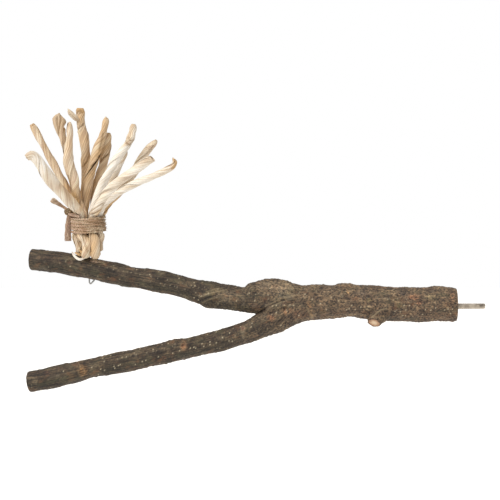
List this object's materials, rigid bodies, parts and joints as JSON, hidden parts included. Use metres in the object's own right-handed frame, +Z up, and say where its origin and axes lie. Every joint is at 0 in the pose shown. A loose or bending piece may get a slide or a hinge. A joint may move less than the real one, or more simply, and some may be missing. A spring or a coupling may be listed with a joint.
{
  "type": "bird perch branch",
  "caption": "Natural forked branch perch with bark, a threaded stud in its sawn thick end and an upright tuft of twisted corn husk tied with jute on one prong.",
  "frame": {"origin": "middle of the sawn thick end of the branch, on the stud's axis, where the perch meets the cage bars", "axes": "+X along the stud, out of the wood; +Z up; the two prongs reach towards -X and lean back a little towards +Y"},
  "size_m": [0.3718, 0.058, 0.2337],
  "materials": {
    "bark_wood": "dry natural bark, dark grey-brown, with pale breathing pores and paler sawn ends",
    "zinc_plated_steel": "zinc-plated, cut thread",
    "corn_husk": "dry ribbed leaf, straw coloured, rolled and twisted",
    "jute_twine": "rough two-ply twine",
    "galvanised_wire": "dull galvanised"
  },
  "bodies": {
    "root": {"trunk": "bark_wood", "upper_prong": "bark_wood", "lower_prong": "bark_wood", "hanger_bolt": "zinc_plated_steel", "husk_strand_1": "corn_husk", "husk_strand_2": "corn_husk", "husk_strand_3": "corn_husk", "husk_strand_4": "corn_husk", "husk_strand_5": "corn_husk", "husk_strand_6": "corn_husk", "jute_tie": "jute_twine", "wire_pin": "galvanised_wire", "husk_shred": "corn_husk"}
  },
  "joints": []
}
